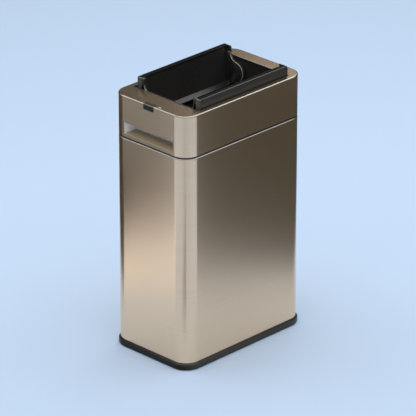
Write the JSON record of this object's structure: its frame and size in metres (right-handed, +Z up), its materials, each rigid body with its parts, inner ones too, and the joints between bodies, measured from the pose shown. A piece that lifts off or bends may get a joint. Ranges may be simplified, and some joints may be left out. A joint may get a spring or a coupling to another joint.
{
  "type": "sensor trash can",
  "caption": "Tall rectangular brushed-steel kitchen trash can with a lift-off head and a motor-driven butterfly lid of glossy black wings.",
  "frame": {"origin": "centre of the footprint, on the floor under the rubber feet", "axes": "+Z up, -Y towards the front with the sensor and the grip pocket, +X towards the can's right long side as seen from behind the sensor"},
  "size_m": [0.2524, 0.407, 0.6737],
  "materials": {
    "brushed_steel": "brushed stainless steel sheet",
    "zinc_sheet": "plain galvanised sheet",
    "black_moulding": "fine matte black plastic",
    "gloss_black": "polished black plastic",
    "lens_dark": "dark infrared-clear plastic",
    "light_pipe": "clear light pipe",
    "grey_moulding": "dark grey plastic",
    "acetal": "natural acetal",
    "bright_steel": "plated steel",
    "gear_brass": "turned brass",
    "motor_can": "drawn steel case",
    "circuit_board": "green circuit board",
    "cell_wrap": "plain battery wrap",
    "foot_rubber": "soft rubber"
  },
  "bodies": {
    "body": {"body_shell": "brushed_steel", "base_ring": "black_moulding", "floor_pan": "zinc_sheet", "feet": "foot_rubber", "base_screws": "bright_steel", "body_collar": "black_moulding", "bag_ring": "bright_steel"},
    "head": {"head_shell": "brushed_steel", "opening_trim": "black_moulding", "head_chassis": "black_moulding", "chassis_nuts": "bright_steel", "grip_pocket": "brushed_steel", "sensor_lens": "lens_dark", "sensor_housing": "black_moulding", "sensor_board": "circuit_board", "status_light": "light_pipe", "hinge_bushes": "acetal", "gear_cover": "grey_moulding", "gear_cover_screws": "bright_steel", "idler_axles": "bright_steel", "gear_motor": "motor_can", "control_board": "circuit_board", "rear_panel": "black_moulding", "battery_case": "grey_moulding", "battery_contacts": "bright_steel", "batteries": "cell_wrap", "switch_housing": "grey_moulding", "power_inlet": "grey_moulding"},
    "left_wing": {"left_wing_cover": "gloss_black", "left_wing_frame": "black_moulding", "left_drive_shaft": "bright_steel", "left_wing_gear": "acetal", "left_rear_pin": "bright_steel"},
    "right_wing": {"right_wing_cover": "gloss_black", "right_wing_frame": "black_moulding", "right_drive_shaft": "bright_steel", "right_wing_gear": "acetal", "right_rear_pin": "bright_steel"},
    "idler_left": {"idler_gear_left": "acetal"},
    "idler_right": {"idler_gear_right": "acetal"},
    "reduction": {"reduction_gear": "acetal"},
    "pinion": {"motor_pinion": "gear_brass"},
    "battery_door": {"battery_door": "black_moulding"},
    "rocker": {"power_rocker": "grey_moulding"}
  },
  "joints": [
    {"name": "head_lift", "type": "slide", "parent": "body", "child": "head", "axis": [0, 0, 1], "range_m": [0, 0.15]},
    {"name": "left_wing_swing", "type": "hinge", "parent": "head", "child": "left_wing", "pos_m": [-0.064, 0, 0.6105], "axis": [0, 1, 0], "range_deg": [0, 90]},
    {"name": "right_wing_swing", "type": "hinge", "parent": "head", "child": "right_wing", "pos_m": [0.064, 0, 0.6105], "axis": [0, 1, 0], "range_deg": [-90, 0]},
    {"name": "idler_left_spin", "type": "hinge", "parent": "head", "child": "idler_left", "pos_m": [-0.02, -0.1444, 0.6105], "axis": [0, 1, 0], "range_deg": [-110, 0]},
    {"name": "idler_right_spin", "type": "hinge", "parent": "head", "child": "idler_right", "pos_m": [0.02, -0.1444, 0.6105], "axis": [0, 1, 0], "range_deg": [0, 110]},
    {"name": "reduction_spin", "type": "hinge", "parent": "head", "child": "reduction", "pos_m": [-0.02, -0.148, 0.5793], "axis": [0, 1, 0], "range_deg": [0, 195]},
    {"name": "pinion_spin", "type": "hinge", "parent": "head", "child": "pinion", "pos_m": [-0.03272, -0.1525, 0.59965], "axis": [0, 1, 0], "range_deg": [-580, 0]},
    {"name": "battery_door_pull", "type": "slide", "parent": "head", "child": "battery_door", "axis": [0, 1, 0], "range_m": [0, 0.04]},
    {"name": "rocker_tilt", "type": "hinge", "parent": "head", "child": "rocker", "pos_m": [0.05915, 0.1925, 0.6076], "axis": [1, 0, 0], "range_deg": [0, 14]}
  ],
  "couplings": [
    {"joint": "right_wing_swing", "follows": "left_wing_swing", "ratio": -1},
    {"joint": "idler_left_spin", "follows": "left_wing_swing", "ratio": -1.2},
    {"joint": "idler_right_spin", "follows": "left_wing_swing", "ratio": 1.2},
    {"joint": "reduction_spin", "follows": "left_wing_swing", "ratio": 2.1429},
    {"joint": "pinion_spin", "follows": "left_wing_swing", "ratio": -6.4286}
  ]
}
